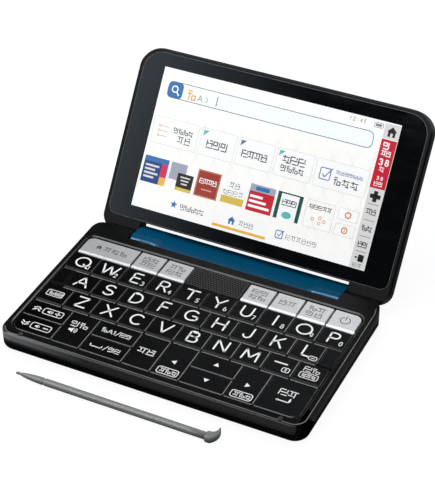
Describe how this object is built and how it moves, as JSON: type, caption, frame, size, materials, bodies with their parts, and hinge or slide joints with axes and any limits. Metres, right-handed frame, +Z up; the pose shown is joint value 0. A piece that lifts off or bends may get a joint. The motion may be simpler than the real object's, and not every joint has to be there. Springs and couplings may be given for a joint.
{
  "type": "electronic dictionary",
  "caption": "Pocket electronic dictionary with a letter keyboard, a touch screen lid on a folding two-axis hinge link, and a stylus lying beside it.",
  "frame": {"origin": "on the ground, under the middle of the whole model's box", "axes": "+X to the right of the keyboard, +Y from the front edge to the hinge, +Z up out of the keys"},
  "size_m": [0.1524, 0.1696, 0.0802],
  "materials": {
    "black_case": "satin black moulded plastic",
    "deck_black": "satin charcoal moulded plastic",
    "key_black": "matt black key cap with white marks",
    "key_silver": "light silver paint with a fine grain and dark marks",
    "link_blue": "glossy teal blue",
    "steel": "turned steel",
    "pad_rubber": "black rubber",
    "sheet_rubber": "grey silicone rubber",
    "board_green": "green solder mask",
    "battery_foil": "silver foil pouch",
    "cover_glass": "dark bordered touch glass",
    "screen": "lit screen",
    "stylus_grey": "satin grey moulded plastic"
  },
  "bodies": {
    "base": {"bottom_case": "black_case", "keyboard_deck": "deck_black", "circuit_board": "board_green", "key_rubber_sheet": "sheet_rubber", "battery_pack": "battery_foil", "screws": "steel", "rubber_pads": "pad_rubber"},
    "link": {"hinge_link": "link_blue", "hinge_pins": "steel"},
    "lid": {"lid_shell": "black_case", "touch_glass": "cover_glass", "display_panel": "screen"},
    "stylus_loose": {"stylus": "stylus_grey"},
    "page_down_press": {"page_down_key": "key_black"},
    "page_up_press": {"page_up_key": "key_black"},
    "voice_press": {"voice_key": "key_black"},
    "space_press": {"space_key": "key_black"},
    "character_press": {"character_key": "key_black"},
    "back_press": {"back_key": "key_black"},
    "left_press": {"left_key": "key_black"},
    "down_press": {"down_key": "key_black"},
    "up_press": {"up_key": "key_black"},
    "right_press": {"right_key": "key_black"},
    "enter_press": {"enter_key": "key_black"},
    "shift_press": {"shift_key": "key_black"},
    "letter_z_press": {"letter_z_key": "key_black"},
    "letter_x_press": {"letter_x_key": "key_black"},
    "letter_c_press": {"letter_c_key": "key_black"},
    "letter_v_press": {"letter_v_key": "key_black"},
    "letter_b_press": {"letter_b_key": "key_black"},
    "letter_n_press": {"letter_n_key": "key_black"},
    "letter_m_press": {"letter_m_key": "key_black"},
    "dash_press": {"dash_key": "key_black"},
    "delete_press": {"delete_key": "key_black"},
    "letter_a_press": {"letter_a_key": "key_black"},
    "letter_s_press": {"letter_s_key": "key_black"},
    "letter_d_press": {"letter_d_key": "key_black"},
    "letter_f_press": {"letter_f_key": "key_black"},
    "letter_g_press": {"letter_g_key": "key_black"},
    "letter_h_press": {"letter_h_key": "key_black"},
    "letter_j_press": {"letter_j_key": "key_black"},
    "letter_k_press": {"letter_k_key": "key_black"},
    "letter_l_press": {"letter_l_key": "key_black"},
    "letter_q_press": {"letter_q_key": "key_black"},
    "letter_w_press": {"letter_w_key": "key_black"},
    "letter_e_press": {"letter_e_key": "key_black"},
    "letter_r_press": {"letter_r_key": "key_black"},
    "letter_t_press": {"letter_t_key": "key_black"},
    "letter_y_press": {"letter_y_key": "key_black"},
    "letter_u_press": {"letter_u_key": "key_black"},
    "letter_i_press": {"letter_i_key": "key_black"},
    "letter_o_press": {"letter_o_key": "key_black"},
    "letter_p_press": {"letter_p_key": "key_black"},
    "home_press": {"home_key": "key_silver"},
    "function_1_press": {"function_1_key": "key_silver"},
    "function_2_press": {"function_2_key": "key_silver"},
    "function_3_press": {"function_3_key": "key_silver"},
    "function_4_press": {"function_4_key": "key_silver"},
    "function_5_press": {"function_5_key": "key_silver"},
    "power_press": {"power_key": "key_silver"}
  },
  "joints": [
    {"name": "link_hinge", "type": "hinge", "parent": "base", "child": "link", "pos_m": [0, 0.02099, 0.0055], "axis": [-1, 0, 0], "range_deg": [-92, 88]},
    {"name": "lid_hinge", "type": "hinge", "parent": "link", "child": "lid", "pos_m": [0, 0.03078, 0.00516], "axis": [-1, 0, 0], "range_deg": [-33.3, 146.7]},
    {"name": "stylus_lift", "type": "slide", "parent": "base", "child": "stylus_loose", "axis": [0, 0, 1], "range_m": [0, 0.03]},
    {"name": "page_down_press_slide", "type": "slide", "parent": "base", "child": "page_down_press", "axis": [0, 0, -1], "range_m": [0, 0.0009], "stiffness_N_per_m": 500, "springref_m": -0.0003},
    {"name": "page_up_press_slide", "type": "slide", "parent": "base", "child": "page_up_press", "axis": [0, 0, -1], "range_m": [0, 0.0009], "stiffness_N_per_m": 500, "springref_m": -0.0003},
    {"name": "voice_press_slide", "type": "slide", "parent": "base", "child": "voice_press", "axis": [0, 0, -1], "range_m": [0, 0.0009], "stiffness_N_per_m": 500, "springref_m": -0.0003},
    {"name": "space_press_slide", "type": "slide", "parent": "base", "child": "space_press", "axis": [0, 0, -1], "range_m": [0, 0.0009], "stiffness_N_per_m": 500, "springref_m": -0.0003},
    {"name": "character_press_slide", "type": "slide", "parent": "base", "child": "character_press", "axis": [0, 0, -1], "range_m": [0, 0.0009], "stiffness_N_per_m": 500, "springref_m": -0.0003},
    {"name": "back_press_slide", "type": "slide", "parent": "base", "child": "back_press", "axis": [0, 0, -1], "range_m": [0, 0.0009], "stiffness_N_per_m": 500, "springref_m": -0.0003},
    {"name": "left_press_slide", "type": "slide", "parent": "base", "child": "left_press", "axis": [0, 0, -1], "range_m": [0, 0.0009], "stiffness_N_per_m": 500, "springref_m": -0.0003},
    {"name": "down_press_slide", "type": "slide", "parent": "base", "child": "down_press", "axis": [0, 0, -1], "range_m": [0, 0.0009], "stiffness_N_per_m": 500, "springref_m": -0.0003},
    {"name": "up_press_slide", "type": "slide", "parent": "base", "child": "up_press", "axis": [0, 0, -1], "range_m": [0, 0.0009], "stiffness_N_per_m": 500, "springref_m": -0.0003},
    {"name": "right_press_slide", "type": "slide", "parent": "base", "child": "right_press", "axis": [0, 0, -1], "range_m": [0, 0.0009], "stiffness_N_per_m": 500, "springref_m": -0.0003},
    {"name": "enter_press_slide", "type": "slide", "parent": "base", "child": "enter_press", "axis": [0, 0, -1], "range_m": [0, 0.0009], "stiffness_N_per_m": 500, "springref_m": -0.0003},
    {"name": "shift_press_slide", "type": "slide", "parent": "base", "child": "shift_press", "axis": [0, 0, -1], "range_m": [0, 0.0009], "stiffness_N_per_m": 500, "springref_m": -0.0003},
    {"name": "letter_z_press_slide", "type": "slide", "parent": "base", "child": "letter_z_press", "axis": [0, 0, -1], "range_m": [0, 0.0009], "stiffness_N_per_m": 500, "springref_m": -0.0003},
    {"name": "letter_x_press_slide", "type": "slide", "parent": "base", "child": "letter_x_press", "axis": [0, 0, -1], "range_m": [0, 0.0009], "stiffness_N_per_m": 500, "springref_m": -0.0003},
    {"name": "letter_c_press_slide", "type": "slide", "parent": "base", "child": "letter_c_press", "axis": [0, 0, -1], "range_m": [0, 0.0009], "stiffness_N_per_m": 500, "springref_m": -0.0003},
    {"name": "letter_v_press_slide", "type": "slide", "parent": "base", "child": "letter_v_press", "axis": [0, 0, -1], "range_m": [0, 0.0009], "stiffness_N_per_m": 500, "springref_m": -0.0003},
    {"name": "letter_b_press_slide", "type": "slide", "parent": "base", "child": "letter_b_press", "axis": [0, 0, -1], "range_m": [0, 0.0009], "stiffness_N_per_m": 500, "springref_m": -0.0003},
    {"name": "letter_n_press_slide", "type": "slide", "parent": "base", "child": "letter_n_press", "axis": [0, 0, -1], "range_m": [0, 0.0009], "stiffness_N_per_m": 500, "springref_m": -0.0003},
    {"name": "letter_m_press_slide", "type": "slide", "parent": "base", "child": "letter_m_press", "axis": [0, 0, -1], "range_m": [0, 0.0009], "stiffness_N_per_m": 500, "springref_m": -0.0003},
    {"name": "dash_press_slide", "type": "slide", "parent": "base", "child": "dash_press", "axis": [0, 0, -1], "range_m": [0, 0.0009], "stiffness_N_per_m": 500, "springref_m": -0.0003},
    {"name": "delete_press_slide", "type": "slide", "parent": "base", "child": "delete_press", "axis": [0, 0, -1], "range_m": [0, 0.0009], "stiffness_N_per_m": 500, "springref_m": -0.0003},
    {"name": "letter_a_press_slide", "type": "slide", "parent": "base", "child": "letter_a_press", "axis": [0, 0, -1], "range_m": [0, 0.0009], "stiffness_N_per_m": 500, "springref_m": -0.0003},
    {"name": "letter_s_press_slide", "type": "slide", "parent": "base", "child": "letter_s_press", "axis": [0, 0, -1], "range_m": [0, 0.0009], "stiffness_N_per_m": 500, "springref_m": -0.0003},
    {"name": "letter_d_press_slide", "type": "slide", "parent": "base", "child": "letter_d_press", "axis": [0, 0, -1], "range_m": [0, 0.0009], "stiffness_N_per_m": 500, "springref_m": -0.0003},
    {"name": "letter_f_press_slide", "type": "slide", "parent": "base", "child": "letter_f_press", "axis": [0, 0, -1], "range_m": [0, 0.0009], "stiffness_N_per_m": 500, "springref_m": -0.0003},
    {"name": "letter_g_press_slide", "type": "slide", "parent": "base", "child": "letter_g_press", "axis": [0, 0, -1], "range_m": [0, 0.0009], "stiffness_N_per_m": 500, "springref_m": -0.0003},
    {"name": "letter_h_press_slide", "type": "slide", "parent": "base", "child": "letter_h_press", "axis": [0, 0, -1], "range_m": [0, 0.0009], "stiffness_N_per_m": 500, "springref_m": -0.0003},
    {"name": "letter_j_press_slide", "type": "slide", "parent": "base", "child": "letter_j_press", "axis": [0, 0, -1], "range_m": [0, 0.0009], "stiffness_N_per_m": 500, "springref_m": -0.0003},
    {"name": "letter_k_press_slide", "type": "slide", "parent": "base", "child": "letter_k_press", "axis": [0, 0, -1], "range_m": [0, 0.0009], "stiffness_N_per_m": 500, "springref_m": -0.0003},
    {"name": "letter_l_press_slide", "type": "slide", "parent": "base", "child": "letter_l_press", "axis": [0, 0, -1], "range_m": [0, 0.0009], "stiffness_N_per_m": 500, "springref_m": -0.0003},
    {"name": "letter_q_press_slide", "type": "slide", "parent": "base", "child": "letter_q_press", "axis": [0, 0, -1], "range_m": [0, 0.0009], "stiffness_N_per_m": 500, "springref_m": -0.0003},
    {"name": "letter_w_press_slide", "type": "slide", "parent": "base", "child": "letter_w_press", "axis": [0, 0, -1], "range_m": [0, 0.0009], "stiffness_N_per_m": 500, "springref_m": -0.0003},
    {"name": "letter_e_press_slide", "type": "slide", "parent": "base", "child": "letter_e_press", "axis": [0, 0, -1], "range_m": [0, 0.0009], "stiffness_N_per_m": 500, "springref_m": -0.0003},
    {"name": "letter_r_press_slide", "type": "slide", "parent": "base", "child": "letter_r_press", "axis": [0, 0, -1], "range_m": [0, 0.0009], "stiffness_N_per_m": 500, "springref_m": -0.0003},
    {"name": "letter_t_press_slide", "type": "slide", "parent": "base", "child": "letter_t_press", "axis": [0, 0, -1], "range_m": [0, 0.0009], "stiffness_N_per_m": 500, "springref_m": -0.0003},
    {"name": "letter_y_press_slide", "type": "slide", "parent": "base", "child": "letter_y_press", "axis": [0, 0, -1], "range_m": [0, 0.0009], "stiffness_N_per_m": 500, "springref_m": -0.0003},
    {"name": "letter_u_press_slide", "type": "slide", "parent": "base", "child": "letter_u_press", "axis": [0, 0, -1], "range_m": [0, 0.0009], "stiffness_N_per_m": 500, "springref_m": -0.0003},
    {"name": "letter_i_press_slide", "type": "slide", "parent": "base", "child": "letter_i_press", "axis": [0, 0, -1], "range_m": [0, 0.0009], "stiffness_N_per_m": 500, "springref_m": -0.0003},
    {"name": "letter_o_press_slide", "type": "slide", "parent": "base", "child": "letter_o_press", "axis": [0, 0, -1], "range_m": [0, 0.0009], "stiffness_N_per_m": 500, "springref_m": -0.0003},
    {"name": "letter_p_press_slide", "type": "slide", "parent": "base", "child": "letter_p_press", "axis": [0, 0, -1], "range_m": [0, 0.0009], "stiffness_N_per_m": 500, "springref_m": -0.0003},
    {"name": "home_press_slide", "type": "slide", "parent": "base", "child": "home_press", "axis": [0, 0, -1], "range_m": [0, 0.0009], "stiffness_N_per_m": 500, "springref_m": -0.0003},
    {"name": "function_1_press_slide", "type": "slide", "parent": "base", "child": "function_1_press", "axis": [0, 0, -1], "range_m": [0, 0.0009], "stiffness_N_per_m": 500, "springref_m": -0.0003},
    {"name": "function_2_press_slide", "type": "slide", "parent": "base", "child": "function_2_press", "axis": [0, 0, -1], "range_m": [0, 0.0009], "stiffness_N_per_m": 500, "springref_m": -0.0003},
    {"name": "function_3_press_slide", "type": "slide", "parent": "base", "child": "function_3_press", "axis": [0, 0, -1], "range_m": [0, 0.0009], "stiffness_N_per_m": 500, "springref_m": -0.0003},
    {"name": "function_4_press_slide", "type": "slide", "parent": "base", "child": "function_4_press", "axis": [0, 0, -1], "range_m": [0, 0.0009], "stiffness_N_per_m": 500, "springref_m": -0.0003},
    {"name": "function_5_press_slide", "type": "slide", "parent": "base", "child": "function_5_press", "axis": [0, 0, -1], "range_m": [0, 0.0009], "stiffness_N_per_m": 500, "springref_m": -0.0003},
    {"name": "power_press_slide", "type": "slide", "parent": "base", "child": "power_press", "axis": [0, 0, -1], "range_m": [0, 0.0009], "stiffness_N_per_m": 500, "springref_m": -0.0003}
  ]
}
